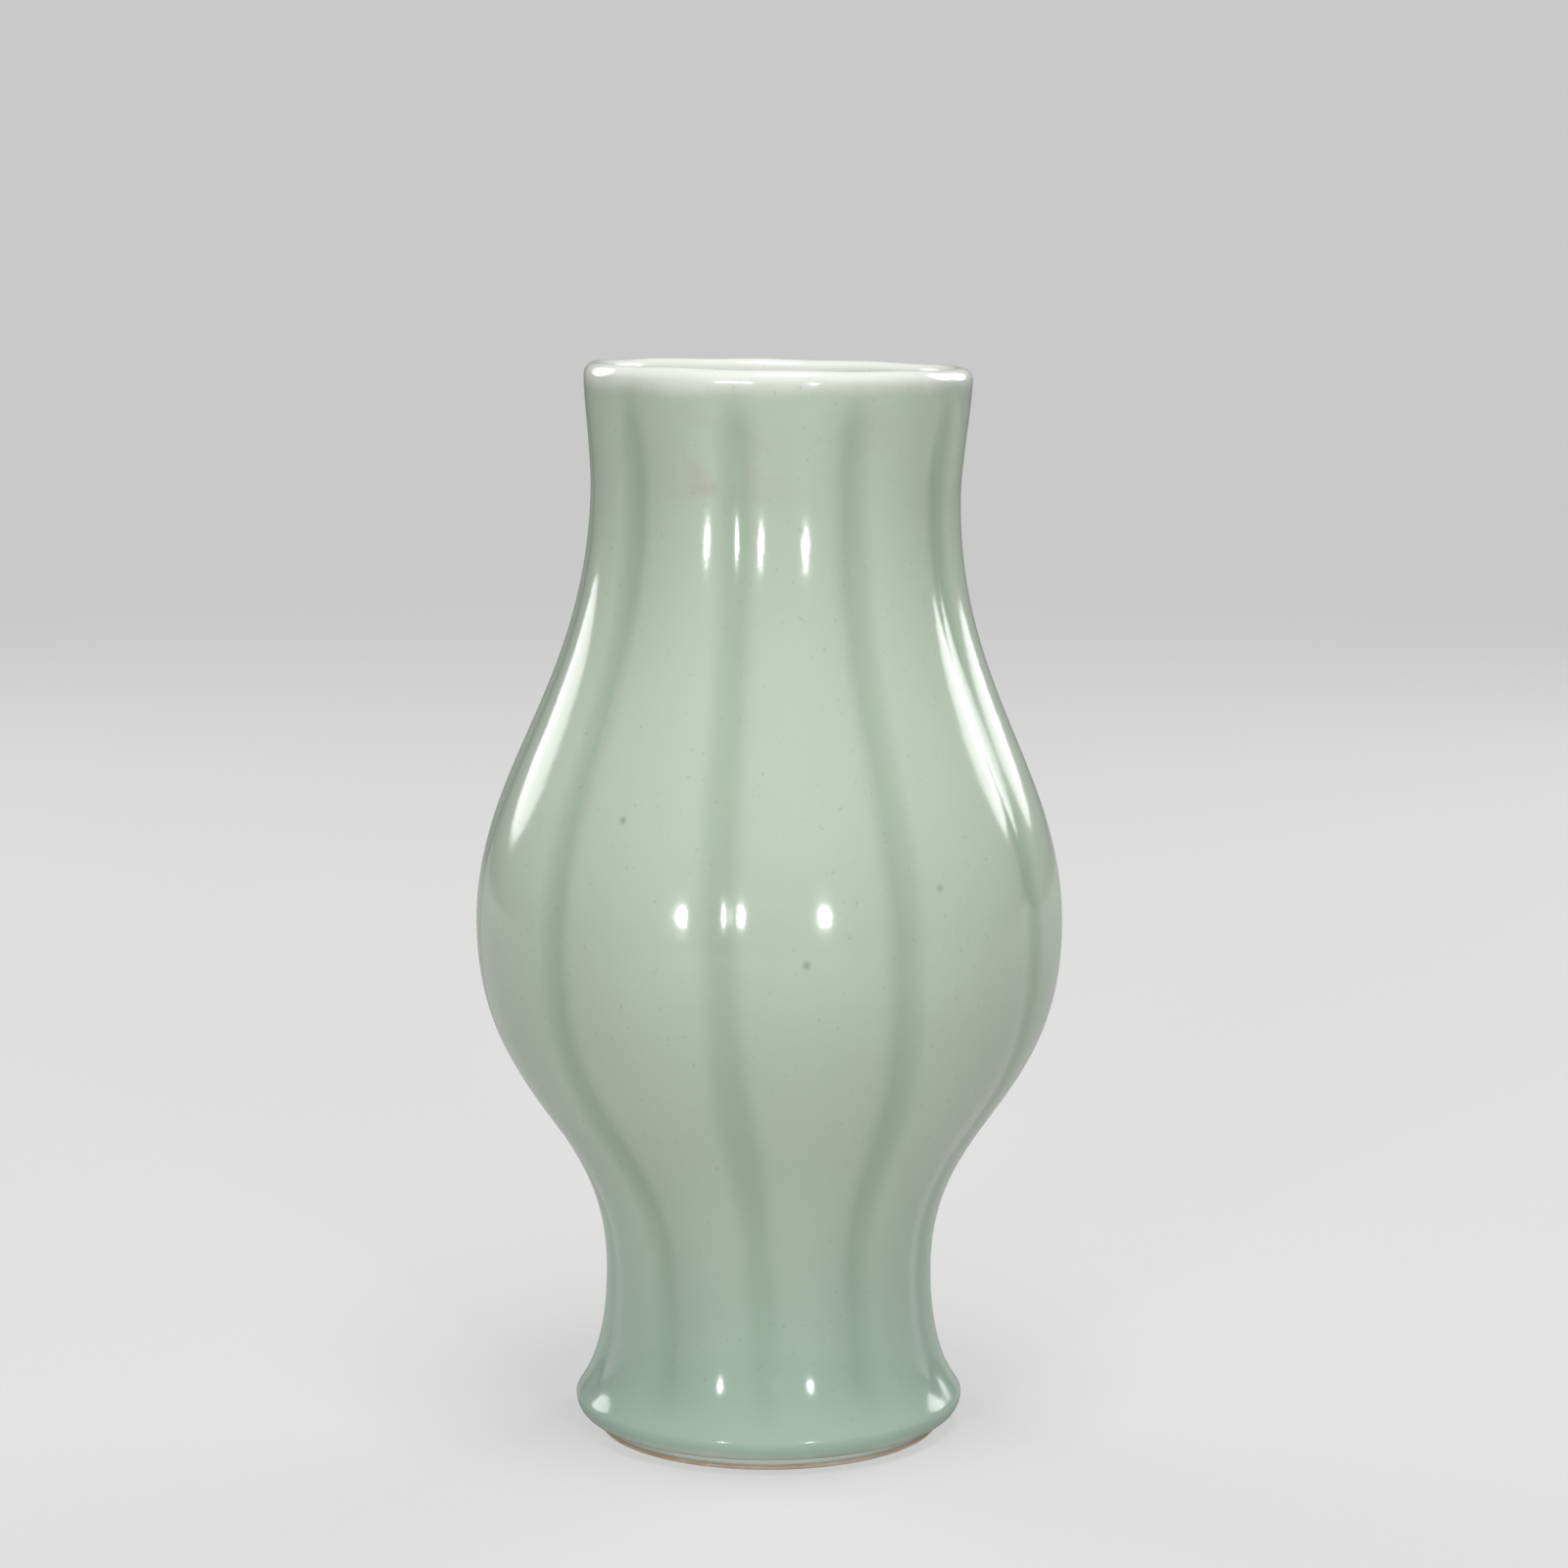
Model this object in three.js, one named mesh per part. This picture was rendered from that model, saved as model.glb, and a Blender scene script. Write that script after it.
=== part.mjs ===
// A ribbed olive-shaped porcelain vase in millimetres, +Z up, standing on z = 0 with the viewer at -Y.
// The clay wall is four thrown sections joined end to end with bands of slip, over a turned foot ring.
// Ten shallow flutes run the whole height, turning a little to the left as they climb.

import * as THREE from "three";

// Driving sizes
const HEIGHT = 270;
const LIP_THICKNESS = 5.2;
const LIP_ROUND = 3.2;

// The outer profile: its waists and its belly, as [radius, height], and how far each curve
// leaves them upright before it turns.
const FOOT_EDGE = [49.3, 8.3];
const STEM_WAIST = [41.45, 40.5];
const BELLY = [74.2, 130];
const NECK_WAIST = [46.55, 239];
const MOUTH = [48.5, HEIGHT - LIP_ROUND];
const OUTER_CURVES = [
  uprightCurve(FOOT_EDGE, 2, STEM_WAIST, 25),
  uprightCurve(STEM_WAIST, 40, BELLY, 46),
  uprightCurve(BELLY, 39.5, NECK_WAIST, 50),
  uprightCurve(NECK_WAIST, 6.5, MOUTH, 8),
];

// The inner profile: a rounded floor, then a wall that thickens towards the foot.
const FLOOR_HEIGHT = 15.5;
const FLOOR_FLAT_RADIUS = 18;
const INNER_STEM = [35.2, 44];
const INNER_BELLY = [69.2, 130];
const INNER_NECK = [41.9, 239];
const INNER_MOUTH = [MOUTH[0] - LIP_THICKNESS, MOUTH[1]];
const INNER_CURVES = [
  new THREE.CubicBezierCurve(
    new THREE.Vector2(FLOOR_FLAT_RADIUS, FLOOR_HEIGHT),
    new THREE.Vector2(FLOOR_FLAT_RADIUS + 14, FLOOR_HEIGHT),
    new THREE.Vector2(INNER_STEM[0], INNER_STEM[1] - 18),
    new THREE.Vector2(...INNER_STEM),
  ),
  uprightCurve(INNER_STEM, 38, INNER_BELLY, 44),
  uprightCurve(INNER_BELLY, 39.5, INNER_NECK, 49),
  uprightCurve(INNER_NECK, 6.5, INNER_MOUTH, 8),
];

// The flutes: a broad scallop from lobe to lobe, and a narrow channel pressed along each hollow.
const LOBES = 10;
const LOBE_ANGLE = 360 / LOBES;
const SCALLOP_DEPTH = 0.8;
const CHANNEL_DEPTH = 0.8;
const CHANNEL_WIDTH = 3.2;
const INSIDE_SHARE = 0.6; // how much of a flute shows on the inside of the wall
const LIP_DIP = 0.2; // the lip sinks this much where a flute meets it
const FLUTE_COLUMNS = [0, 2.5, 5.5, 10.5, 18, 25.5, 30.5, 33.5]; // degrees from one hollow to the next

// How the front flute's bearing runs, in degrees from the front: at the foot, then the turn up to
// the belly, then the turn from there to the lip.
const FOOT_BEARING = -1.3;
const LOWER_TURN = -7.5;
const UPPER_TURN = -3.7;

// Where the flutes fade: over the foot's rolled edge, and just under the lip.
const FOOT_FADE = [5, 20];
const LIP_FADE = [250, 268];
const LIP_SHARE = 0.3;

// The kiln's warp: above the belly the axis leans to +X, and the mouth tips the same way.
const LEAN = 2.5;
const LEAN_POWER = 1.5;
const MOUTH_TIP = THREE.MathUtils.degToRad(1);

// The foot: its rolled edge, the turned ring below it, and the recess inside the ring.
const RING_HEIGHT = 3.3;
const ROLL_UNDERSIDE_RADIUS = 45.2;
const RING_OUTSIDE = 43.9;
const RING_INSIDE = 37.6;
const RING_TREAD = [39.4, 42.7];
const RING_EDGE = 0.9;
const RING_DRAFT = 0.45;
const RECESS_CEILING = 9;
const RECESS_CORNER = 3;
const RECESS_RISE = 0.6; // the ceiling climbs this much to its centre

// The joints: where the sections meet, and the slip that fills each meeting.
const SLIP_THICKNESS = 0.8;
const SLIP_BEAD = 1.1; // how far the slip stands into the vessel
const STEM_SEAM = STEM_WAIST[1];
const BELLY_SEAM = BELLY[1];
const NECK_SEAM = 194;

// How finely the skins are divided.
const FOOT_STEPS = 7;
const LOWER_BELLY_STEPS = 9;
const SHOULDER_STEPS = 6;
const NECK_STEPS = 8;
const ROLL_STEPS = 4;
const LIP_STEPS = 6;
const FLOOR_STEPS = 5;
const INSIDE_STEPS = 0.6; // the inside takes this share of the outside's divisions

function uprightCurve([radiusA, heightA], rise, [radiusB, heightB], drop) {
  return new THREE.CubicBezierCurve(
    new THREE.Vector2(radiusA, heightA),
    new THREE.Vector2(radiusA, heightA + rise),
    new THREE.Vector2(radiusB, heightB - drop),
    new THREE.Vector2(radiusB, heightB),
  );
}

// The radius of a profile at a height. Each curve only climbs, so halving finds the place.
function radiusAt(curves, height) {
  const curve = curves.find((c) => height <= c.v3.y) ?? curves[curves.length - 1];
  let low = 0;
  let high = 1;
  for (let i = 0; i < 40; i++) {
    const middle = (low + high) / 2;
    if (curve.getPoint(middle).y < height) low = middle;
    else high = middle;
  }
  return curve.getPoint(low).x;
}

const outside = (height) => radiusAt(OUTER_CURVES, height);
const inside = (height) => radiusAt(INNER_CURVES, height);

const { degToRad, smoothstep } = THREE.MathUtils;

function fluteBearing(height) {
  const climb = Math.max(0, (height - BELLY[1]) / (HEIGHT - BELLY[1]));
  return FOOT_BEARING + LOWER_TURN * smoothstep(height, 10, BELLY[1]) + UPPER_TURN * climb;
}

function fluteStrength(height) {
  const below = smoothstep(height, ...FOOT_FADE);
  return below * (1 - (1 - LIP_SHARE) * smoothstep(height, ...LIP_FADE));
}

// How deep the flute is at an offset in degrees from its hollow, on a circle of this radius.
function fluteDepth(offset, radius, height) {
  const turn = degToRad(offset);
  const across = (radius * turn) / CHANNEL_WIDTH;
  const scallop = (SCALLOP_DEPTH * (1 + Math.cos(LOBES * turn))) / 2;
  const channel = CHANNEL_DEPTH * Math.exp(-0.5 * across * across);
  return fluteStrength(height) * (scallop + channel);
}

// A point of the fired shape: the lean moves it sideways and the tip lowers its +X side.
function firedPoint(radius, angle, height) {
  const x = radius * Math.cos(angle);
  const y = radius * Math.sin(angle);
  const lean = Math.max(0, (height - BELLY[1]) / (HEIGHT - BELLY[1]));
  const tip = Math.max(0, (height - NECK_SEAM) / (HEIGHT - NECK_SEAM));
  return new THREE.Vector3(
    x + LEAN * lean ** LEAN_POWER,
    y,
    height - Math.tan(MOUTH_TIP) * x * tip * tip,
  );
}

// One ring of points round the wall. share is how much of the flutes it carries, and dip how far
// it sinks at each hollow.
function wallRing(radius, height, share = 1, dip = 0) {
  const points = [];
  for (let lobe = 0; lobe < LOBES; lobe++) {
    for (const column of FLUTE_COLUMNS) {
      const bearing = fluteBearing(height) + lobe * LOBE_ANGLE + column;
      const offset = column > LOBE_ANGLE / 2 ? column - LOBE_ANGLE : column;
      const depth = share * fluteDepth(offset, radius, height);
      const sink = (dip * (1 + Math.cos(degToRad(LOBES * offset)))) / 2;
      points.push(firedPoint(radius - depth, degToRad(bearing - 90), height - sink));
    }
  }
  return points;
}

const between = (from, to, steps) =>
  Array.from({ length: steps + 1 }, (_, i) => from + ((to - from) * i) / steps);

const outerRings = (from, to, steps) =>
  between(from, to, steps).map((z) => wallRing(outside(z), z));

const innerRings = (from, to, steps) =>
  between(from, to, Math.ceil(steps * INSIDE_STEPS)).map((z) => wallRing(inside(z), z, INSIDE_SHARE));

const count = LOBES * FLUTE_COLUMNS.length;

// Stitches rings of equal length into one skin. closed joins the last ring to the first, and
// otherwise the ends close on the two points given.
function skin(rings, { closed = false, start, end } = {}) {
  const points = rings.flat();
  const faces = [];
  const bands = closed ? rings.length : rings.length - 1;
  for (let band = 0; band < bands; band++) {
    const here = band * count;
    const next = ((band + 1) % rings.length) * count;
    for (let i = 0; i < count; i++) {
      const j = (i + 1) % count;
      faces.push(here + i, here + j, next + j, here + i, next + j, next + i);
    }
  }
  if (start) {
    points.push(start);
    for (let i = 0; i < count; i++) faces.push(points.length - 1, (i + 1) % count, i);
  }
  if (end) {
    points.push(end);
    const last = (rings.length - 1) * count;
    for (let i = 0; i < count; i++) {
      faces.push(points.length - 1, last + i, last + ((i + 1) % count));
    }
  }
  const geometry = new THREE.BufferGeometry().setFromPoints(points);
  geometry.setIndex(faces);
  geometry.computeVertexNormals();
  return geometry;
}

// A thrown drum: up the outside, across the top, and down the inside.
function drum(bottom, top, steps) {
  const from = bottom + SLIP_THICKNESS / 2;
  const to = top - SLIP_THICKNESS / 2;
  const up = outerRings(from, to, steps);
  const down = innerRings(from, to, steps).reverse();
  return skin([...up, ...down], { closed: true });
}

// The lip's full round, from the outside over to the inside.
function lipRings() {
  const middle = (MOUTH[0] + INNER_MOUTH[0]) / 2;
  return between(0, Math.PI, LIP_STEPS).map((turn) => {
    const radius = middle + (LIP_THICKNESS / 2) * Math.cos(turn);
    const height = MOUTH[1] + LIP_ROUND * Math.sin(turn);
    return wallRing(radius, height, 1, LIP_DIP * Math.sin(turn));
  });
}

function mouthAndNeck() {
  const from = NECK_SEAM + SLIP_THICKNESS / 2;
  const up = outerRings(from, MOUTH[1], NECK_STEPS);
  const down = innerRings(from, INNER_MOUTH[1], NECK_STEPS).reverse();
  const lip = lipRings();
  lip[LIP_STEPS] = wallRing(INNER_MOUTH[0], INNER_MOUTH[1], INSIDE_SHARE);
  return skin([...up, ...lip.slice(1), ...down.slice(1)], { closed: true });
}

// The foot: a hollow splayed stem on a thick floor, its edge rolled under to the foot ring. The
// recess below is turned, so it stays round.
function splayedFoot() {
  const top = STEM_SEAM - SLIP_THICKNESS / 2;
  const roll = between(Math.PI / 2, 0, ROLL_STEPS).map((turn) => {
    const out = FOOT_EDGE[0] - ROLL_UNDERSIDE_RADIUS;
    const radius = ROLL_UNDERSIDE_RADIUS + out * Math.cos(turn);
    return wallRing(radius, FOOT_EDGE[1] - (FOOT_EDGE[1] - RING_HEIGHT) * Math.sin(turn));
  });
  const recess = [
    [RING_INSIDE - RECESS_CORNER, RECESS_CEILING],
    [RING_INSIDE - RING_DRAFT - RECESS_CORNER / 4, RECESS_CEILING - RECESS_CORNER / 4],
    [RING_INSIDE - RING_DRAFT, RECESS_CEILING - RECESS_CORNER],
    [RING_INSIDE, RING_HEIGHT],
  ].map(([radius, height]) => wallRing(radius, height, 0));
  const wall = between(FOOT_EDGE[1], top, FOOT_STEPS).slice(1);
  const up = wall.map((z) => wallRing(outside(z), z));
  const bowl = INNER_CURVES[0];
  const floor = between(0, 1, FLOOR_STEPS).map((t) => bowl.getPoint(t));
  const down = floor
    .filter((p) => p.y < top)
    .map((p) => wallRing(p.x, p.y, INSIDE_SHARE))
    .reverse();
  const mouth = wallRing(inside(top), top, INSIDE_SHARE);
  return skin([...recess, ...roll, ...up, mouth, ...down], {
    start: new THREE.Vector3(0, 0, RECESS_CEILING + RECESS_RISE),
    end: new THREE.Vector3(0, 0, FLOOR_HEIGHT),
  });
}

// The turned ring the vase stands on: a flat tread with both edges eased.
function footRing() {
  const corners = [
    [RING_TREAD[0], 0],
    [RING_TREAD[1], 0],
    [RING_OUTSIDE - RING_DRAFT, RING_EDGE],
    [RING_OUTSIDE, RING_HEIGHT],
    [RING_INSIDE, RING_HEIGHT],
    [RING_INSIDE + RING_DRAFT, RING_EDGE],
  ];
  return skin(
    corners.map(([radius, height]) => wallRing(radius, height, 0)),
    { closed: true },
  );
}

// The slip at a joint: flush outside, and a wiped bead inside that overlaps neither section.
function slipBand(seam) {
  const low = seam - SLIP_THICKNESS / 2;
  const high = seam + SLIP_THICKNESS / 2;
  return skin(
    [
      wallRing(outside(low), low),
      wallRing(outside(high), high),
      wallRing(inside(high), high, INSIDE_SHARE),
      wallRing(inside(seam) - SLIP_BEAD, seam, INSIDE_SHARE),
      wallRing(inside(low), low, INSIDE_SHARE),
    ],
    { closed: true },
  );
}

const celadon = { color: 0xb9cdb9, roughness: 0.12, metalness: 0 };
const biscuit = { color: 0xd9c6a8, roughness: 0.75, metalness: 0 };
const slip = { color: 0xdedccf, roughness: 0.6, metalness: 0 };

const vase = new THREE.Group();

function addPiece(name, geometry, look) {
  const piece = new THREE.Mesh(geometry, new THREE.MeshStandardMaterial(look));
  piece.name = name;
  vase.add(piece);
}

addPiece("foot_ring", footRing(), biscuit);
addPiece("splayed_foot", splayedFoot(), celadon);
addPiece("stem_slip_joint", slipBand(STEM_SEAM), slip);
addPiece("lower_belly", drum(STEM_SEAM, BELLY_SEAM, LOWER_BELLY_STEPS), celadon);
addPiece("belly_slip_joint", slipBand(BELLY_SEAM), slip);
addPiece("shoulder", drum(BELLY_SEAM, NECK_SEAM, SHOULDER_STEPS), celadon);
addPiece("neck_slip_joint", slipBand(NECK_SEAM), slip);
addPiece("mouth_and_neck", mouthAndNeck(), celadon);

export default vase;
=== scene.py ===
# %% [markdown]
# A fluted celadon vase, dressed in Blender.
# The CAD model says where every wall is. Here the same wall gets its glaze: pale and grey-green on
# the lobes, greener where it ran into the flutes, thin over the lip and painted almost white there,
# partly as painted light from above, and stopped just above a bare foot rim. The inside is painted
# paler, as painted light. Everything is in metres, standing on z = 0, with the viewer at -Y.

# %% Load the frame
from functools import partial
from math import cos, pi, radians, sin
from types import SimpleNamespace

import bmesh
import bpy
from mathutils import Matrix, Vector


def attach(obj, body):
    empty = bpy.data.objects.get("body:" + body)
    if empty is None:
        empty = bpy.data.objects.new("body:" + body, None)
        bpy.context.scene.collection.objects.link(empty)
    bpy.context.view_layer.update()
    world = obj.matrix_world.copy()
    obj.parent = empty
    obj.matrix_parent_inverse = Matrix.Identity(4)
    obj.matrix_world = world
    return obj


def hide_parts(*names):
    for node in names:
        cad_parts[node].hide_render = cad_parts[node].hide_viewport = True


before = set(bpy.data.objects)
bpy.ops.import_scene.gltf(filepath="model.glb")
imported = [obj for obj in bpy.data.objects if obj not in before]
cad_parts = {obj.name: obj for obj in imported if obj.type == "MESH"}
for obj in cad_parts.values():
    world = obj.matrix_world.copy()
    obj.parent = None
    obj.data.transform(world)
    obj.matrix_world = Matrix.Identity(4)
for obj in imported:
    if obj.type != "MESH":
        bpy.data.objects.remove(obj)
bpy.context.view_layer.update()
MM = 0.001

# %% [markdown]
# The camera stands about a metre away, a little above the lip, and looks slightly down, so the lip
# is seen almost edge on and the foot from above. It could stand closer with a wider lens, but a long
# one keeps the two sides of the neck parallel, which shows its shape truly.

# %% Camera
CAMERA_PLACE = (0.00395, -0.9796, 0.2999)
CAMERA_DOWN = radians(7.85)
CAMERA_LENS = 90.2
CAMERA_SENSOR = 36


def put_in_scene(name, data):
    """An object that shows this data, linked to the scene."""
    found = bpy.data.objects.new(name, data)
    bpy.context.collection.objects.link(found)
    return found


camera = put_in_scene("camera", bpy.data.cameras.new("camera"))
camera.data.lens = CAMERA_LENS
camera.data.sensor_width = CAMERA_SENSOR
camera.location = CAMERA_PLACE
camera.rotation_euler = (pi / 2 - CAMERA_DOWN, 0, 0)
bpy.context.scene.camera = camera
bpy.context.scene.view_settings.view_transform = "Standard"
print("camera at", CAMERA_PLACE)

# %% [markdown]
# The wall's shape is one line, turned about the vase's axis. The line could be drawn by hand, but
# four upright curves between the foot, the stem's waist, the belly, the neck's waist and the mouth
# say the same in five radii and heights, and they are the sizes a potter would check with callipers.

# %% The sizes of the wall, in millimetres
HEIGHT = 270
LIP_THICKNESS = 5.2
LIP_ROUND = 3.2
FOOT_EDGE = (49.3, 8.3)  # every point is a radius and a height
STEM_WAIST = (41.45, 40.5)
BELLY = (74.2, 130)
NECK_WAIST = (46.55, 239)
MOUTH = (48.5, HEIGHT - LIP_ROUND)
FLOOR = (18, 15.5)
FLOOR_REACH = 14
INNER_STEM = (35.2, 44)
INNER_STEM_DROP = 18
INNER_BELLY = (69.2, 130)
INNER_NECK = (41.9, 239)
INNER_MOUTH = (MOUTH[0] - LIP_THICKNESS, MOUTH[1])
NECK_SEAM = 194
SEAMS = (STEM_WAIST[1], BELLY[1], NECK_SEAM)
SEAM_BEAD = 1.0
SEAM_BEAD_WIDTH = 1.6

# Each curve: its low end, its reach up from there, its high end, its reach down, and its steps.
OUTER_CURVES = [
    (FOOT_EDGE, 2, STEM_WAIST, 25, 26),
    (STEM_WAIST, 40, BELLY, 46, 44),
    (BELLY, 39.5, NECK_WAIST, 50, 48),
    (NECK_WAIST, 6.5, MOUTH, 8, 16),
]
INNER_CURVES = [
    (INNER_STEM, 38, INNER_BELLY, 44, 34),
    (INNER_BELLY, 39.5, INNER_NECK, 49, 40),
    (INNER_NECK, 6.5, INNER_MOUTH, 8, 12),
]
print("wall from", FOOT_EDGE, "to", MOUTH)

# %% Points along a curve
def bezier(a, b, c, d, steps):
    """Points from a to d, leaving out a itself."""
    found = []
    for i in range(1, steps + 1):
        t = i / steps
        weights = ((1 - t) ** 3, 3 * t * (1 - t) ** 2, 3 * t * t * (1 - t), t**3)
        found.append(tuple(sum(w * p[k] for w, p in zip(weights, (a, b, c, d))) for k in (0, 1)))
    return found


def upright(low, rise, high, drop, steps):
    """A curve that leaves its low end and meets its high end straight up."""
    return bezier(low, (low[0], low[1] + rise), (high[0], high[1] - drop), high, steps)


def arc(centre, size, start, end, steps):
    """Points on an ellipse of half axes size, between two angles in degrees, without the first."""
    turns = [radians(start + (end - start) * i / steps) for i in range(1, steps + 1)]
    return [(centre[0] + size[0] * cos(t), centre[1] + size[1] * sin(t)) for t in turns]


def line(a, b, steps):
    """Even steps from a to b, leaving out a itself."""
    return [tuple(a[k] + (b[k] - a[k]) * i / steps for k in (0, 1)) for i in range(1, steps + 1)]


# %% [markdown]
# Under the rolled edge of the foot stands a low turned ring. The glaze covers its upper part and was
# wiped off its tread, so that the vase didn't stick to the kiln shelf. The ring could be a glazed
# piece of its own, but then a crack would show at its root. So one glazed line runs from the recess
# down the ring, across it, and out round the roll.

# %% The line under the foot, out to the rolled edge
RING_HEIGHT = 3.3
RING_OUTSIDE = 43.9
RING_INSIDE = 37.6
RING_DRAFT = 0.3
RING_ROOT = (0.3, 0.4)
GLAZE_STOPS = 1.15
GLAZE_EDGE = 0.3
ROLL_UNDERSIDE = 45.2
RECESS_CEILING = 9
RECESS_RISE = 0.6
RECESS_CORNER = 2.6

corner = (RING_INSIDE - RECESS_CORNER, RECESS_CEILING - RECESS_CORNER)
under = [(0, RECESS_CEILING + RECESS_RISE)]
under += line(under[0], (RING_INSIDE - RECESS_CORNER, RECESS_CEILING), steps=14)
under += arc(corner, (RECESS_CORNER, RECESS_CORNER), start=90, end=0, steps=6)
under += line(under[-1], (RING_INSIDE + RING_DRAFT, GLAZE_STOPS + GLAZE_EDGE), steps=5)
under += [(RING_INSIDE + 2 * RING_DRAFT, GLAZE_STOPS), (RING_OUTSIDE - 2 * RING_DRAFT, GLAZE_STOPS)]
under += line((RING_OUTSIDE - RING_DRAFT, GLAZE_STOPS + GLAZE_EDGE),
              (RING_OUTSIDE, RING_HEIGHT - RING_ROOT[1]), steps=3)
under += [(RING_OUTSIDE + RING_ROOT[0], RING_HEIGHT), (ROLL_UNDERSIDE, RING_HEIGHT)]
under += arc((ROLL_UNDERSIDE, FOOT_EDGE[1]),
             (FOOT_EDGE[0] - ROLL_UNDERSIDE, FOOT_EDGE[1] - RING_HEIGHT), start=-90, end=0, steps=12)
print("line under the foot of", len(under), "points")


# %% The line over the lip and down the inside
def bead(height):
    """How far the slip that joins two sections stands into the vase at a height."""
    return sum(SEAM_BEAD * 2 ** -(((height - seam) / SEAM_BEAD_WIDTH) ** 2) for seam in SEAMS)


outside = [point for curve in OUTER_CURVES for point in upright(*curve)]
lip = arc(((MOUTH[0] + INNER_MOUTH[0]) / 2, MOUTH[1]), (LIP_THICKNESS / 2, LIP_ROUND),
          start=0, end=180, steps=18)
inside = [FLOOR]
inside += bezier(FLOOR, (FLOOR[0] + FLOOR_REACH, FLOOR[1]),
                 (INNER_STEM[0], INNER_STEM[1] - INNER_STEM_DROP), INNER_STEM, steps=14)
inside += [point for curve in INNER_CURVES for point in upright(*curve)]
inside = [(r - bead(z), z) for r, z in inside]
floor_line = line(FLOOR, (0, FLOOR[1]), steps=6)

# The third number is 0 outside, rises over the lip, and is 1 inside. The inner wall's top point is
# left out, because the lip ends on it.
wall_line = [(r, z, 0) for r, z in under + outside]
wall_line += [(r, z, (i + 1) / len(lip)) for i, (r, z) in enumerate(lip)]
wall_line += [(r, z, 1) for r, z in inside[-2::-1] + floor_line]
print("wall line of", len(wall_line), "points")

# %% [markdown]
# The bare rim is the clay itself, worn smooth at both edges of its tread. It could be a brown band
# painted on the ring, but a real glaze ends in a small step. So the rim is a piece of its own that
# sits a hair inside the glaze.

# %% The line of the bare rim
TREAD = (39.4, 42.7)
RIM_EDGE = 0.7
BARE_STEP = 0.12
RIM_DRAFT = 1.5 * RING_DRAFT

rim_out = RING_OUTSIDE - RIM_DRAFT - BARE_STEP
rim_in = RING_INSIDE + RIM_DRAFT + BARE_STEP
rim_top = GLAZE_STOPS + BARE_STEP
rim_line = [(rim_in, rim_top), (rim_in, RIM_EDGE)]
rim_line += arc((TREAD[0], RIM_EDGE), (TREAD[0] - rim_in, RIM_EDGE), start=180, end=270, steps=6)
rim_line += line((TREAD[0], 0), (TREAD[1], 0), steps=5)
rim_line += arc((TREAD[1], RIM_EDGE), (rim_out - TREAD[1], RIM_EDGE), start=-90, end=0, steps=6)
rim_line += [(rim_out, rim_top), (rim_in, rim_top)]
rim_line = [(r, z, 0) for r, z in rim_line]
print("rim line of", len(rim_line), "points")

# %% [markdown]
# The flutes follow a rule, so Geometry Nodes turn the line into the wall. A grid is bent round the
# axis: its columns follow the flutes, which sway a little to the left as they climb, and its rows
# follow the line. Each flute is a broad scallop with a narrow channel pressed along its hollow. It
# could be sculpted, but a rule keeps ten flutes alike and lets one number change them all.

# %% The sizes of the flutes
FLUTE_SIZES = {
    "Lobes": 10,
    "Columns In A Lobe": 24,
    "Scallop Depth": 0.8 * MM,
    "Channel Depth": 0.8 * MM,
    "Channel Width": 3.2 * MM,
    "Inside Share": 0.6,
    "Lip Dip": 0.2 * MM,
    "Throwing Mark": 0.14 * MM,
    "Throwing Pitch": 7.5 * MM,
    "Foot Bearing": radians(-1.3),
    "Lower Turn": radians(-7.5),
    "Upper Turn": radians(-3.7),
    "Belly Height": BELLY[1] * MM,
    "Tip Height": NECK_SEAM * MM,
    "Total Height": HEIGHT * MM,
    "Lean": 2.5 * MM,
    "Mouth Tip": sin(radians(1)),
}
FOOT_FADE = (5 * MM, 20 * MM)
LIP_FADE = (250 * MM, 268 * MM)
LIP_SHARE = 0.3
FLOOR_FADE = (FLOOR[0] * MM, INNER_STEM[0] * MM)
THROWN_FADE = (0.8, 1)
LEAN_POWER = 1.5
TURN_STARTS = 10 * MM
SCALLOP_POOL = 0.3
SCALLOP_POOL_POWER = 3
CHANNEL_POOL = 0.7
WELD = 0.005 * MM
print(FLUTE_SIZES["Lobes"], "flutes")


# %% A few words for writing node trees
def set_input(tree, socket, value):
    """Give a socket a number, an RGB triple, or another node's output."""
    if isinstance(value, (int, float)):
        socket.default_value = value
    elif isinstance(value, tuple):
        socket.default_value = (*value, 1)
    else:
        tree.links.new(value, socket)


def math_node(tree, operation, *values):
    """One sum. Below, calc is this word with its tree already given."""
    node = tree.nodes.new("ShaderNodeMath")
    node.operation = operation
    for socket, value in zip(node.inputs, values):
        set_input(tree, socket, value)
    return node.outputs[0]


def ramp_node(tree, value, low, high, start=0.0, end=1.0):
    """start below low, end above high, and a smooth step between."""
    node = tree.nodes.new("ShaderNodeMapRange")
    node.interpolation_type = "SMOOTHSTEP"
    for socket, given in zip(node.inputs, (value, low, high, start, end)):
        set_input(tree, socket, given)
    return node.outputs[0]


def split_node(tree, vector):
    """The X, Y and Z of a vector, by name."""
    node = tree.nodes.new("ShaderNodeSeparateXYZ")
    tree.links.new(vector, node.inputs[0])
    return node.outputs


# %% [markdown]
# The grid has one row for each point of the line and starts one metre square, centred on the origin.
# Its rows could be placed by hand, but then a change to the line would break them. So every row
# looks up its own point of the line, and whether that point is on the inside.

# %% A grid that reads the line
GRID_SIDE = 1


def line_sample(tree, kind, line_points, field, row):
    """What a field says at one row's point of the line."""
    node = tree.nodes.new("GeometryNodeSampleIndex")
    node.data_type = kind
    tree.links.new(line_points, node.inputs["Geometry"])
    tree.links.new(field, node.inputs["Value"])
    tree.links.new(row, node.inputs["Index"])
    return node.outputs[0]


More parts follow.
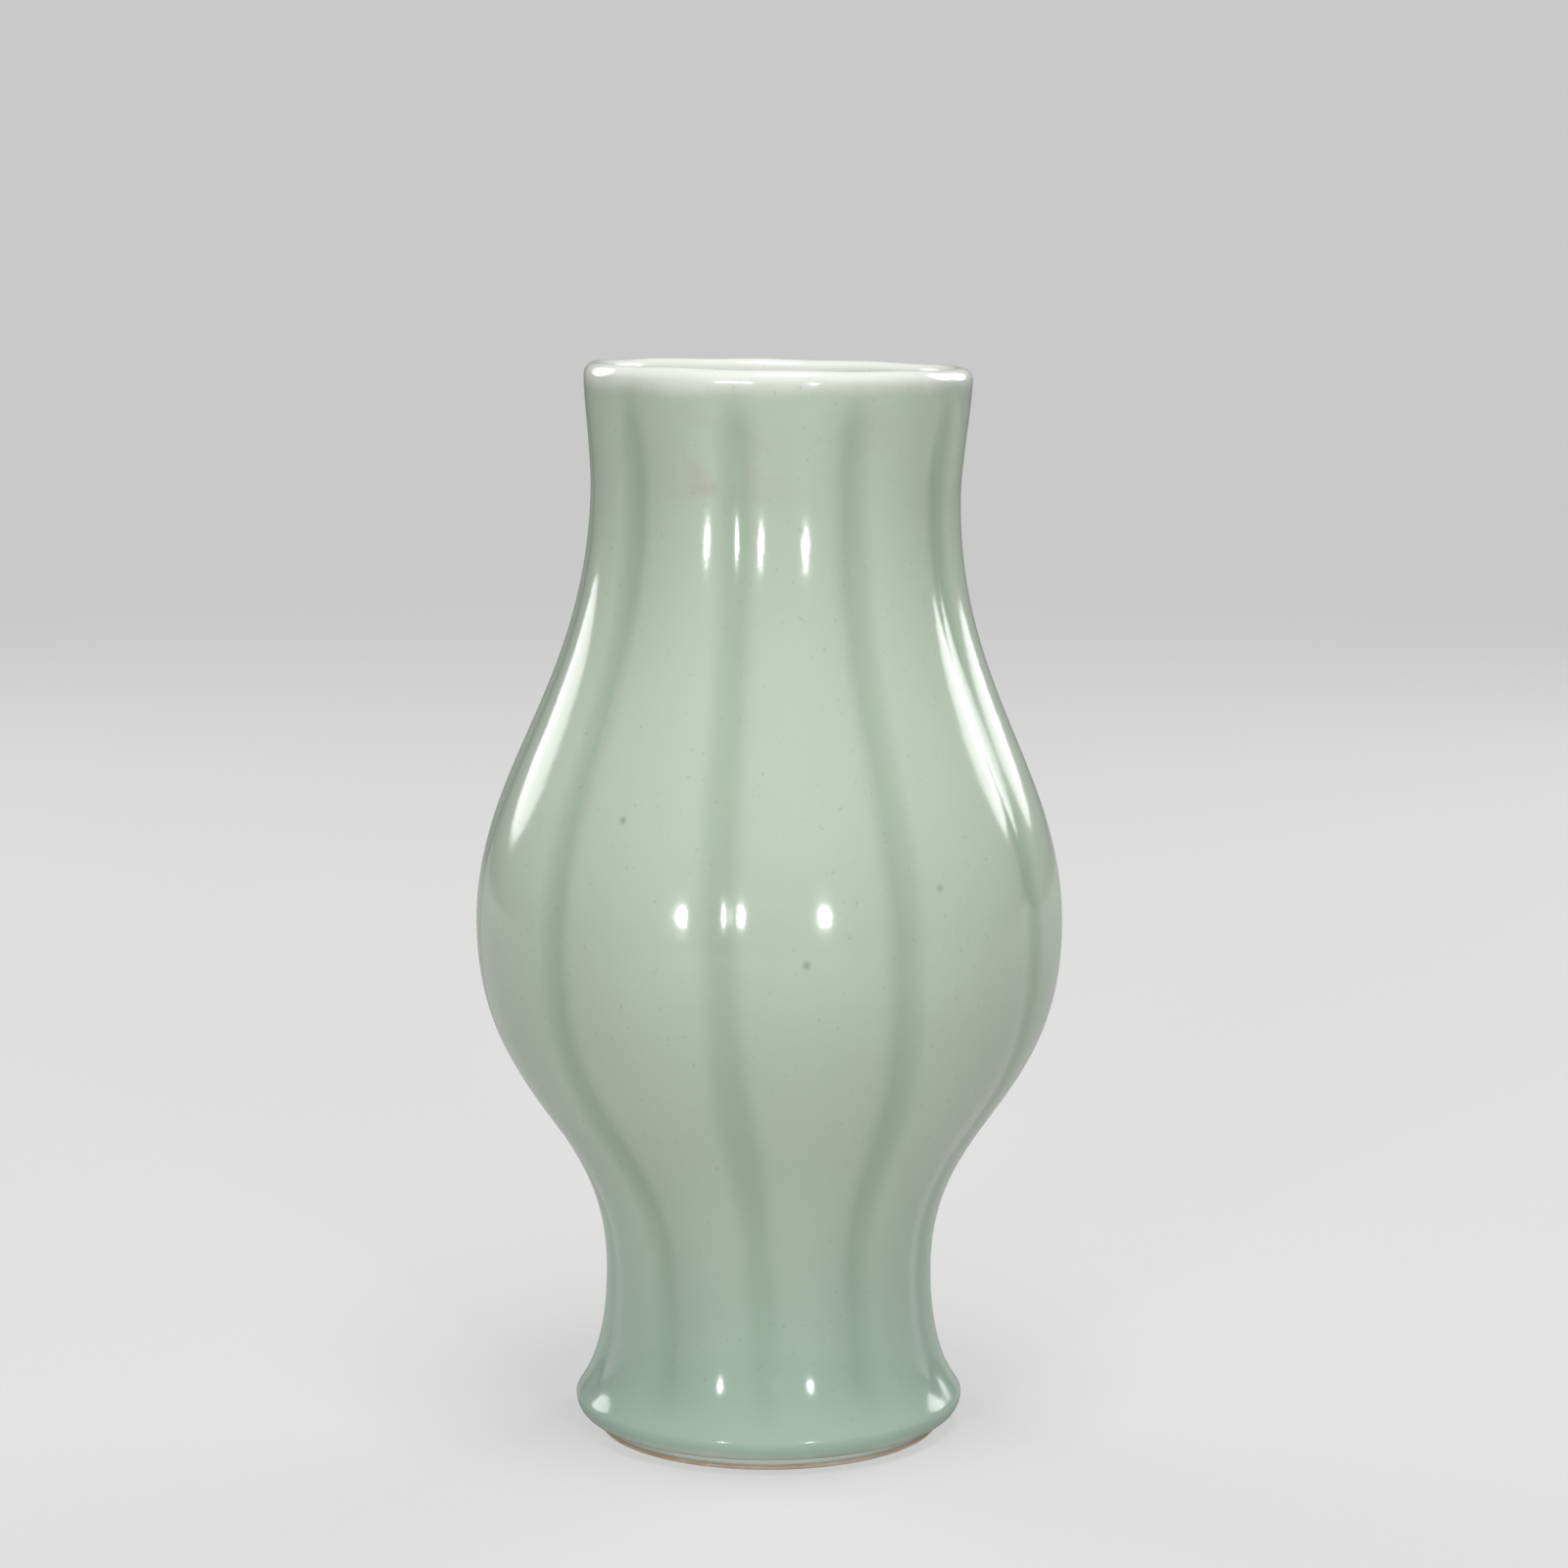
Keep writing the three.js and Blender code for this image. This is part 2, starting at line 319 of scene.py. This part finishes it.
def grid_on_line(tree, given):
    """The flat grid, and what is known at each of its points."""
    calc = partial(math_node, tree)
    node, link = tree.nodes.new, tree.links.new
    line_info = node("GeometryNodeObjectInfo")
    link(given["Line"], line_info.inputs["Object"])
    line_points = line_info.outputs["Geometry"]
    size = node("GeometryNodeAttributeDomainSize")
    link(line_points, size.inputs[0])
    rows = size.outputs["Point Count"]
    columns = calc("MULTIPLY", given["Lobes"], given["Columns In A Lobe"])
    grid = node("GeometryNodeMeshGrid")
    grid.inputs["Size X"].default_value = GRID_SIDE
    grid.inputs["Size Y"].default_value = GRID_SIDE
    link(calc("ADD", columns, 1), grid.inputs["Vertices X"])
    link(rows, grid.inputs["Vertices Y"])

    position = node("GeometryNodeInputPosition").outputs[0]
    place = split_node(tree, position)
    along = calc("ADD", place["Y"], GRID_SIDE / 2)
    row = calc("ROUND", calc("MULTIPLY", along, calc("SUBTRACT", rows, 1)))
    spot = split_node(tree, line_sample(tree, "FLOAT_VECTOR", line_points, position, row))
    mark = node("GeometryNodeInputNamedAttribute")
    mark.data_type = "FLOAT"
    mark.inputs["Name"].default_value = "inside"
    at = SimpleNamespace(
        round_wall=calc("ADD", place["X"], GRID_SIDE / 2),
        radius=spot["X"],
        height=spot["Z"],
        inside=line_sample(tree, "FLOAT", line_points, mark.outputs["Attribute"], row),
    )
    at.off_axis = ramp_node(tree, at.radius, *FLOOR_FADE)
    return grid.outputs["Mesh"], at


# %% How deep the flutes are, and how much glaze lies in them
def flutes(tree, given, at):
    """The scallop's wave, the flutes' whole depth, and the pooled glaze."""
    calc = partial(math_node, tree)
    lobe = calc("MULTIPLY", at.round_wall, given["Lobes"])
    wave = calc("MULTIPLY", calc("ADD", calc("COSINE", calc("MULTIPLY", lobe, 2 * pi)), 1), 0.5)

    # The channel is a bell curve of the distance across the flute, measured along the wall.
    from_hollow = calc("SUBTRACT", calc("FRACT", calc("ADD", lobe, 0.5)), 0.5)
    across = calc("MULTIPLY", calc("DIVIDE", from_hollow, given["Lobes"]), 2 * pi)
    share = calc("DIVIDE", calc("MULTIPLY", at.radius, across), given["Channel Width"])
    channel = calc("EXPONENT", calc("MULTIPLY", calc("MULTIPLY", share, share), -0.5))

    # Both fade out at the foot's edge and weaken at the lip. They are shallower inside, where they
    # stop on the floor.
    below = ramp_node(tree, at.height, *FOOT_FADE)
    above = ramp_node(tree, at.height, *LIP_FADE, 1, LIP_SHARE)
    strength = calc("MULTIPLY", below, above)
    depth = calc("ADD", calc("MULTIPLY", wave, given["Scallop Depth"]),
                 calc("MULTIPLY", channel, given["Channel Depth"]))
    shallower = calc("MULTIPLY", at.inside, calc("SUBTRACT", 1, given["Inside Share"]))
    inner = calc("SUBTRACT", 1, shallower)
    depth = calc("MULTIPLY", calc("MULTIPLY", calc("MULTIPLY", depth, strength), inner), at.off_axis)

    gathered = calc("ADD", calc("MULTIPLY", calc("POWER", wave, SCALLOP_POOL_POWER), SCALLOP_POOL),
                    calc("MULTIPLY", channel, CHANNEL_POOL))
    return wave, depth, calc("MULTIPLY", strength, gathered)


def throwing_marks(tree, given, at):
    """A potter's fingers leave a shallow spiral on the inside."""
    calc = partial(math_node, tree)
    turns = calc("SUBTRACT", calc("DIVIDE", at.height, given["Throwing Pitch"]), at.round_wall)
    spiral = calc("SINE", calc("MULTIPLY", turns, 2 * pi))
    thrown = calc("MULTIPLY", calc("MULTIPLY", spiral, given["Throwing Mark"]),
                  ramp_node(tree, at.inside, *THROWN_FADE))
    return calc("MULTIPLY", thrown, at.off_axis)


# %% [markdown]
# A fired vase is never quite true. This one's flutes sway as they climb, its neck leans a little to
# the viewer's right, its mouth tips the same way, and its lip dips a hair at each flute. Each could
# be a modifier of its own, but all of them follow the height, so one sum places every point.

# %% Bend the grid round the axis
def share_above(tree, height, low, high):
    """0 below low, and above it the share of the way from low to high."""
    calc = partial(math_node, tree)
    span = calc("SUBTRACT", high, low)
    return calc("MAXIMUM", calc("DIVIDE", calc("SUBTRACT", height, low), span), 0)


def bent_place(tree, given, at, wall, wave):
    """Where each point of the grid goes, once the wall's own radius there is known."""
    calc = partial(math_node, tree)
    climb = share_above(tree, at.height, given["Belly Height"], given["Total Height"])
    turn = calc("MULTIPLY", ramp_node(tree, at.height, TURN_STARTS, given["Belly Height"]),
                given["Lower Turn"])
    bearing = calc("ADD", calc("ADD", given["Foot Bearing"], turn),
                   calc("MULTIPLY", climb, given["Upper Turn"]))
    angle = calc("ADD", calc("ADD", bearing, calc("MULTIPLY", at.round_wall, 2 * pi)), -pi / 2)
    x = calc("MULTIPLY", wall, calc("COSINE", angle))
    y = calc("MULTIPLY", wall, calc("SINE", angle))
    leaned = calc("ADD", x, calc("MULTIPLY", calc("POWER", climb, LEAN_POWER), given["Lean"]))
    tip = share_above(tree, at.height, given["Tip Height"], given["Total Height"])
    drop = calc("MULTIPLY", calc("MULTIPLY", calc("MULTIPLY", tip, tip), given["Mouth Tip"]), x)
    dipped = calc("MULTIPLY", calc("MULTIPLY", wave, given["Lip Dip"]),
                  ramp_node(tree, at.height, MOUTH[1] * MM, given["Total Height"]))
    z = calc("SUBTRACT", calc("SUBTRACT", at.height, drop), dipped)
    point = tree.nodes.new("ShaderNodeCombineXYZ")
    for socket, value in zip(point.inputs, (leaned, y, z)):
        tree.links.new(value, socket)
    return point.outputs[0]


# %% The whole tree
def fluting_tree():
    tree = bpy.data.node_groups.new("turn_and_flute", "GeometryNodeTree")
    new_socket = tree.interface.new_socket
    new_socket("Geometry", in_out="INPUT", socket_type="NodeSocketGeometry")
    new_socket("Line", in_out="INPUT", socket_type="NodeSocketObject")
    new_socket("Glaze", in_out="INPUT", socket_type="NodeSocketMaterial")
    for name in FLUTE_SIZES:
        new_socket(name, in_out="INPUT", socket_type="NodeSocketFloat")
    new_socket("Geometry", in_out="OUTPUT", socket_type="NodeSocketGeometry")
    node, link = tree.nodes.new, tree.links.new
    given = node("NodeGroupInput").outputs

    kept, at = grid_on_line(tree, given)
    wave, depth, pool = flutes(tree, given, at)
    wall = math_node(tree, "ADD", math_node(tree, "SUBTRACT", at.radius, depth),
                     throwing_marks(tree, given, at))
    for name, field in (("glaze_pool", pool), ("inside", at.inside)):
        store = node("GeometryNodeStoreNamedAttribute")
        store.data_type = "FLOAT"
        store.domain = "POINT"
        store.inputs["Name"].default_value = name
        link(kept, store.inputs["Geometry"])
        link(field, store.inputs["Value"])
        kept = store.outputs[0]
    bend = node("GeometryNodeSetPosition")
    link(kept, bend.inputs["Geometry"])
    link(bent_place(tree, given, at, wall, wave), bend.inputs["Position"])
    merge = node("GeometryNodeMergeByDistance")
    merge.inputs["Distance"].default_value = WELD
    link(bend.outputs[0], merge.inputs["Geometry"])
    real = node("GeometryNodeRealizeInstances")
    link(merge.outputs[0], real.inputs[0])
    paint = node("GeometryNodeSetMaterial")
    link(real.outputs[0], paint.inputs["Geometry"])
    link(given["Glaze"], paint.inputs["Material"])
    link(paint.outputs[0], node("NodeGroupOutput").inputs[0])
    print("fluting tree of", len(tree.nodes), "nodes")
    return tree


fluting = fluting_tree()

# %% [markdown]
# The tree reads its line from an object, so each line becomes a mesh of loose points for a moment.
# The modifier could stay live, but a plain mesh is what gets exported, so its result is kept
# instead. Faces that shrank to nothing on the axis are dissolved, and the clay's volume is measured.

# %% Turn a line into a plain mesh
NO_LENGTH = 1e-7
ML_IN_CUBIC_METRE = 1e6


def line_object(name, points):
    mesh = bpy.data.meshes.new(name)
    mesh.from_pydata([(r * MM, 0, z * MM) for r, z, _ in points], [], [])
    share = mesh.attributes.new("inside", "FLOAT", "POINT")
    share.data.foreach_set("value", [p[2] for p in points])
    found = bpy.data.objects.new(name, mesh)
    return found


def turned_piece(name, points, material):
    holder = put_in_scene("holder", bpy.data.meshes.new("holder"))
    nodes = holder.modifiers.new("turn", "NODES")
    nodes.node_group = fluting
    inputs = {s.name: s.identifier for s in fluting.interface.items_tree if s.in_out == "INPUT"}
    guide = line_object(name + "_line", points)
    nodes[inputs["Line"]] = guide
    nodes[inputs["Glaze"]] = material
    for size, value in FLUTE_SIZES.items():
        nodes[inputs[size]] = float(value)
    turned = holder.evaluated_get(bpy.context.evaluated_depsgraph_get())
    mesh = bpy.data.meshes.new_from_object(turned)
    bpy.data.objects.remove(holder)
    bpy.data.objects.remove(guide)

    made = bmesh.new()
    made.from_mesh(mesh)
    bmesh.ops.dissolve_degenerate(made, dist=NO_LENGTH, edges=made.edges)
    if made.calc_volume(signed=True) < 0:
        bmesh.ops.reverse_faces(made, faces=made.faces)
    open_edges = sum(1 for edge in made.edges if not edge.is_manifold)
    clay = round(made.calc_volume(signed=True) * ML_IN_CUBIC_METRE, 1)
    made.to_mesh(mesh)
    made.free()
    mesh.shade_smooth()
    piece = put_in_scene(name, mesh)
    print(name, len(mesh.polygons), "faces,", open_edges, "open edges,", clay, "ml of clay")
    return piece


# %% [markdown]
# Celadon is a clear glaze coloured by a little iron, so its green deepens with its thickness. One
# shader could carry painted maps, but the wall already knows where the glaze pooled, so the colour
# follows that: pale on the lobes and greener in the hollows. The lip is painted nearly white, partly
# for the thin glaze that ran off it and partly as painted light from the lamp overhead, and the
# inside is painted paler as painted light.

# %% Words for the shaders
# A Mix node has sockets for numbers and vectors too. These are the share and the two colours.
MIX_SHARE, MIX_FIRST, MIX_SECOND, MIX_RESULT = 0, 6, 7, 2


def mix_node(tree, share, first, second):
    """A mix of two colours. Each is an RGB triple or another node's output."""
    node = tree.nodes.new("ShaderNodeMix")
    node.data_type = "RGBA"
    set_input(tree, node.inputs[MIX_SHARE], share)
    set_input(tree, node.inputs[MIX_FIRST], first)
    set_input(tree, node.inputs[MIX_SECOND], second)
    return node.outputs[MIX_RESULT]


def noise_node(tree, place, scale, detail=3.0):
    node = tree.nodes.new("ShaderNodeTexNoise")
    node.inputs["Scale"].default_value = scale
    node.inputs["Detail"].default_value = detail
    tree.links.new(place, node.inputs["Vector"])
    return node.outputs[0]


def blot_node(tree, place, centre, size):
    """1 at a point of the surface, fading to 0 at size away. Both are in metres."""
    node = tree.nodes.new("ShaderNodeVectorMath")
    node.operation = "DISTANCE"
    tree.links.new(place, node.inputs[0])
    node.inputs[1].default_value = centre
    return ramp_node(tree, node.outputs["Value"], 0, size, 1, 0)


def mark_node(tree, name):
    """What the wall remembers under a name."""
    node = tree.nodes.new("ShaderNodeAttribute")
    node.attribute_name = name
    return node.outputs["Fac"]


def new_shader(name, roughness):
    material = bpy.data.materials.new(name)
    material.use_nodes = True
    tree = material.node_tree
    shader = tree.nodes["Principled BSDF"]
    shader.inputs["Roughness"].default_value = roughness
    return material, tree, shader


def surface_place(tree):
    """Where a point of a piece is, in metres from the middle of the foot."""
    return tree.nodes.new("ShaderNodeTexCoord").outputs["Object"]


def add_bump(tree, shader, relief, strength, depth):
    bump = tree.nodes.new("ShaderNodeBump")
    bump.inputs["Strength"].default_value = strength
    bump.inputs["Distance"].default_value = depth
    tree.links.new(relief, bump.inputs["Height"])
    tree.links.new(bump.outputs[0], shader.inputs["Normal"])


# %% The glaze's greens, and the heights in metres where each one lies
CREST = (0.482, 0.56, 0.465)
HOLLOW = (0.385, 0.475, 0.375)
DEEP_TONE = (0.37, 0.52, 0.43)
# The paler inside tone is painted light, standing in for the light that falls in through the mouth.
INNER_PAINTED_LIGHT_TONE = (0.68, 0.72, 0.63)
# The lip's white is partly its thin glaze and partly painted light from the lamp overhead. The same
# white is also mixed in low on the foot.
WHITE_THIN_GLAZE_AND_LIGHT = (0.78, 0.8, 0.74)
DRIFT_SCALE = 22
DRIFT_SHARE = 0.5
POOL_RANGE = (0.1, 1.0)
DEEP_RANGE = (0.01, 0.085)
DEEP_SHARE = 0.75
INNER_PAINTED_LIGHT_SHARE = 0.8
RAGGED_SCALE = 60
RAGGED_HEIGHT = 0.004
# Heights where the lip is painted white, partly for thin glaze and partly as painted light.
LIP_THIN_GLAZE_AND_LIGHT_RANGE = (0.265, 0.2705)
GLAZE_EDGE_RANGE = (0.005, 0.0085)
GLAZE_EDGE_SHARE = 0.7


def pooled_greens(tree, place):
    calc = partial(math_node, tree)
    height = split_node(tree, place)["Z"]
    drift = calc("SUBTRACT", noise_node(tree, place, DRIFT_SCALE), 0.5)
    pool = calc("ADD", mark_node(tree, "glaze_pool"), calc("MULTIPLY", drift, DRIFT_SHARE))
    colour = mix_node(tree, ramp_node(tree, pool, *POOL_RANGE), CREST, HOLLOW)
    deep = calc("MULTIPLY", ramp_node(tree, height, *DEEP_RANGE, 1, 0), DEEP_SHARE)
    colour = mix_node(tree, deep, colour, DEEP_TONE)
    # Painted light: the inside is painted paler, standing in for the light that falls in through the
    # mouth.
    inner = calc("MULTIPLY", mark_node(tree, "inside"), INNER_PAINTED_LIGHT_SHARE)
    colour = mix_node(tree, inner, colour, INNER_PAINTED_LIGHT_TONE)
    ragged = calc("MULTIPLY", noise_node(tree, place, RAGGED_SCALE), RAGGED_HEIGHT)
    ragged = calc("ADD", height, ragged)
    # The lip is painted nearly white: partly its thin glaze, partly painted light from the lamp
    # overhead.
    colour = mix_node(tree, ramp_node(tree, ragged, *LIP_THIN_GLAZE_AND_LIGHT_RANGE), colour, WHITE_THIN_GLAZE_AND_LIGHT)
    edge = calc("MULTIPLY", ramp_node(tree, ragged, *GLAZE_EDGE_RANGE, 1, 0), GLAZE_EDGE_SHARE)
    return mix_node(tree, edge, colour, WHITE_THIN_GLAZE_AND_LIGHT)


# %% [markdown]
# The firing left a few marks of its own: a faint stain on the neck, a smudge by the lip, iron specks
# all over, and pinholes where bubbles burst. They could be painted on a map, but there are few of
# them, so each is placed by its bearing and height, and the specks come from a fine noise.

# %% Stain, smudge, specks and pinholes
STAIN_TONE = (0.46, 0.44, 0.36)
SPOT_TONE = (0.24, 0.27, 0.2)
NECK_STAIN = (-0.012, -0.0445, 0.243)
NECK_STAIN_SIZE = 0.024
NECK_STAIN_SHARE = 0.5
CLOUD_SCALE = 130
CLOUD_DETAIL = 5
CLOUD_RANGE = (0.45, 0.7)
LIP_SMUDGE = (0.0251, -0.041, 0.2555)
LIP_SMUDGE_SIZE = 0.009
LIP_SMUDGE_SHARE = 0.3
SPECK_SCALE = 700
SPECK_RANGE = (0.7, 0.78)
SPECK_SHARE = 0.25
PINHOLE_SHARE = 0.65
PINHOLES = [  # bearing from the front in degrees, height and size in millimetres
    (7.2, 132, 1.6), (34.8, 148, 1.5), (26, 115, 1.6), (26.2, 107, 1.4), (-30.7, 164, 1.5),
    (-13, 78, 1.2), (135, 120, 1.6), (-150, 150, 1.4), (170, 165, 1.3),
]


def on_wall(bearing, height):
    """The point of the outer wall at a bearing and a height, in metres. Flutes are left out."""
    radius = min(outside, key=lambda point: abs(point[1] - height))[0]
    turn = radians(bearing)
    return (radius * sin(turn) * MM, -radius * cos(turn) * MM, height * MM)


def pinholes(tree, place):
    """1 at the middle of each pinhole, and 0 away from them."""
    pits = 0.0
    for bearing, level, size in PINHOLES:
        pit = blot_node(tree, place, on_wall(bearing, level), size * MM)
        pits = math_node(tree, "MAXIMUM", pits, pit)
    return pits


def fired_marks(tree, place, colour, pits):
    """The colour with every mark of the firing on it."""
    calc = partial(math_node, tree)
    cloudy = ramp_node(tree, noise_node(tree, place, CLOUD_SCALE, CLOUD_DETAIL), *CLOUD_RANGE)
    stain = calc("MULTIPLY", blot_node(tree, place, NECK_STAIN, NECK_STAIN_SIZE), cloudy)
    colour = mix_node(tree, calc("MULTIPLY", stain, NECK_STAIN_SHARE), colour, STAIN_TONE)
    smudge = blot_node(tree, place, LIP_SMUDGE, LIP_SMUDGE_SIZE)
    colour = mix_node(tree, calc("MULTIPLY", smudge, LIP_SMUDGE_SHARE), colour, STAIN_TONE)
    grains = noise_node(tree, place, SPECK_SCALE, detail=1)
    specks = ramp_node(tree, grains, *SPECK_RANGE, 0, SPECK_SHARE)
    colour = mix_node(tree, specks, colour, SPOT_TONE)
    return mix_node(tree, calc("MULTIPLY", pits, PINHOLE_SHARE), colour, SPOT_TONE)


# %% [markdown]
# The glaze lies in soft waves over the clay, with an eggshell ripple on them and small pits, and
# these break up its reflections. They could be shape, but they are far shallower than the wall's
# faces are wide, so they are made as bump in the shader.

# %% Celadon glaze
GLAZE_ROUGHNESS = 0.13
WAVE_SCALE = 70
WAVE_HEIGHT = 0.75
RIPPLE_SCALE = 420
RIPPLE_HEIGHT = 0.1
PINHOLE_DEPTH = 0.5
GLAZE_BUMP = 0.16
GLAZE_BUMP_DEPTH = 0.001


def celadon_glaze():
    material, tree, shader = new_shader("celadon_glaze", GLAZE_ROUGHNESS)
    calc = partial(math_node, tree)
    place = surface_place(tree)
    pits = pinholes(tree, place)
    colour = fired_marks(tree, place, pooled_greens(tree, place), pits)
    tree.links.new(colour, shader.inputs["Base Color"])
    waves = calc("MULTIPLY", noise_node(tree, place, WAVE_SCALE, detail=2), WAVE_HEIGHT)
    ripple = calc("MULTIPLY", noise_node(tree, place, RIPPLE_SCALE, detail=2), RIPPLE_HEIGHT)
    relief = calc("SUBTRACT", calc("ADD", waves, ripple), calc("MULTIPLY", pits, PINHOLE_DEPTH))
    add_bump(tree, shader, relief, GLAZE_BUMP, GLAZE_BUMP_DEPTH)
    print("celadon glaze of", len(tree.nodes), "nodes")
    return material


# %% [markdown]
# Bare porcelain turns a warm buff in the fire, and rusty where the glaze ends. One brown would do
# from afar, but the rim is seen against a pale floor. So it is mottled and a little gritty, and
# rust gathers towards the glaze.

# %% Bare clay
CLAY = (0.6, 0.48, 0.35)
CLAY_PALE = (0.72, 0.64, 0.52)
RUST = (0.5, 0.27, 0.13)
CLAY_ROUGHNESS = 0.78
MOTTLE_SCALE = 160
MOTTLE_DETAIL = 4
MOTTLE_RANGE = (0.35, 0.65)
RUST_HEIGHTS = (0.5 * MM, GLAZE_STOPS * MM)
RUST_SCALE = 90
RUST_RANGE = (0.3, 0.6)
RUST_SHARES = (0.25, 0.8)
GRIT_SCALE = 1400
GRIT_BUMP = 0.35
GRIT_DEPTH = 0.0004


def bare_clay():
    material, tree, shader = new_shader("bare_clay", CLAY_ROUGHNESS)
    place = surface_place(tree)
    mottle = ramp_node(tree, noise_node(tree, place, MOTTLE_SCALE, MOTTLE_DETAIL), *MOTTLE_RANGE)
    colour = mix_node(tree, mottle, CLAY, CLAY_PALE)
    edge = ramp_node(tree, split_node(tree, place)["Z"], *RUST_HEIGHTS)
    patches = ramp_node(tree, noise_node(tree, place, RUST_SCALE), *RUST_RANGE, *RUST_SHARES)
    colour = mix_node(tree, math_node(tree, "MULTIPLY", edge, patches), colour, RUST)
    tree.links.new(colour, shader.inputs["Base Color"])
    add_bump(tree, shader, noise_node(tree, place, GRIT_SCALE), GRIT_BUMP, GRIT_DEPTH)
    print("bare clay of", len(tree.nodes), "nodes")
    return material


# %% Make the two pieces
vase = turned_piece("celadon_vase", wall_line, celadon_glaze())
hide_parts("splayed_foot", "stem_slip_joint", "lower_belly", "belly_slip_joint",
            "shoulder", "neck_slip_joint", "mouth_and_neck")
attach(vase, "root")

rim = turned_piece("bare_foot_rim", rim_line, bare_clay())
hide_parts("foot_ring")
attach(rim, "root")

# %% [markdown]
# A pale floor that curves up into a low wall all round stands in for a photographer's paper sweep.
# It hides the horizon. A brighter lamp could whiten it, but that would wash out the glaze. So only
# the camera sees the paper glow a little, and the light that it sends up under the belly stays low.

# %% Floor and sweep
FLOOR_RADIUS = 2.4
FLOOR_RINGS = 6
SWEEP_CURVE = 0.9
SWEEP_CURVE_STEPS = 16
SWEEP_TOP = 1.6
SWEEP_SIDES = 96
SWEEP_WELD = 1e-5
PAPER_TONE = (0.46, 0.46, 0.455)
PAPER_ROUGHNESS = 0.9
PAPER_GLOW = 0.5


def paper():
    material, tree, shader = new_shader("paper", PAPER_ROUGHNESS)
    shader.inputs["Base Color"].default_value = (*PAPER_TONE, 1)
    glow = tree.nodes.new("ShaderNodeEmission")
    ray = tree.nodes.new("ShaderNodeLightPath")
    mixed = tree.nodes.new("ShaderNodeMixShader")
    seen = math_node(tree, "MULTIPLY", ray.outputs["Is Camera Ray"], PAPER_GLOW)
    for socket, value in zip(mixed.inputs, (seen, shader.outputs[0], glow.outputs[0])):
        tree.links.new(value, socket)
    tree.links.new(mixed.outputs[0], tree.nodes["Material Output"].inputs["Surface"])
    return material


def paper_sweep():
    points = [(FLOOR_RADIUS * i / FLOOR_RINGS, 0) for i in range(FLOOR_RINGS + 1)]
    points += arc((FLOOR_RADIUS, SWEEP_CURVE), (SWEEP_CURVE, SWEEP_CURVE),
                  start=-90, end=0, steps=SWEEP_CURVE_STEPS)
    points += [(FLOOR_RADIUS + SWEEP_CURVE, SWEEP_TOP)]
    made = bmesh.new()
    verts = [made.verts.new((r, 0, z)) for r, z in points]
    edges = [made.edges.new(pair) for pair in zip(verts, verts[1:])]
    bmesh.ops.spin(made, geom=verts + edges, cent=(0, 0, 0), axis=(0, 0, 1), dvec=(0, 0, 0),
                   angle=2 * pi, steps=SWEEP_SIDES)
    bmesh.ops.remove_doubles(made, verts=made.verts, dist=SWEEP_WELD)
    bmesh.ops.recalc_face_normals(made, faces=made.faces)
    mesh = bpy.data.meshes.new("paper_sweep")
    made.to_mesh(mesh)
    made.free()
    mesh.shade_smooth()
    mesh.materials.append(paper())
    sweep = put_in_scene("paper_sweep", mesh)
    print("sweep", len(mesh.polygons), "faces")


paper_sweep()

# %% [markdown]
# Two small lamps stand a little to each side of the camera and leave small bright marks down the
# front of the vase. One big lamp could light it all, but then nothing would say that the glaze is
# glossy. A broad soft lamp overhead lights the lip, the shoulders and the foot, and two more behind
# keep the back from going dark.

# %% Lamps
LAMPS_FACE = (0, 0, 0.14)
FRONT_BEARINGS = {"left": -25, "right": 23}
FRONT_DISTANCE = 1.55
FRONT_HEIGHT = 0.36
FRONT_SIZE = 0.11
FRONT_POWER = 5.8
OVERHEAD_PLACE = (0.1, -0.45, 1.7)
OVERHEAD_SIZE = 0.8
OVERHEAD_POWER = 17
BEHIND_PLACES = {"left": (-1.35, 1.1, 0.8), "right": (1.25, 1.1, 0.8)}
BEHIND_SIZE = 1.0
BEHIND_POWER = 11
AIR_LIGHT = 0.27


def lamp(name, place, size, power):
    light = bpy.data.lights.new(name, "AREA")
    light.shape = "DISK"
    light.size = size
    light.energy = power
    found = put_in_scene(name, light)
    found.location = place
    found.rotation_euler = (Vector(LAMPS_FACE) - Vector(place)).to_track_quat("-Z", "Y").to_euler()


for side, bearing in FRONT_BEARINGS.items():
    turn = radians(bearing)
    place = (FRONT_DISTANCE * sin(turn), -FRONT_DISTANCE * cos(turn), FRONT_HEIGHT)
    lamp("lamp_" + side, place, FRONT_SIZE, FRONT_POWER)
lamp("lamp_overhead", OVERHEAD_PLACE, OVERHEAD_SIZE, OVERHEAD_POWER)
for side, place in BEHIND_PLACES.items():
    lamp("lamp_behind_" + side, place, BEHIND_SIZE, BEHIND_POWER)

world = bpy.data.worlds.new("studio_air")
world.use_nodes = True
air = world.node_tree.nodes["Background"].inputs
air["Color"].default_value = (1, 1, 1, 1)
air["Strength"].default_value = AIR_LIGHT
bpy.context.scene.world = world
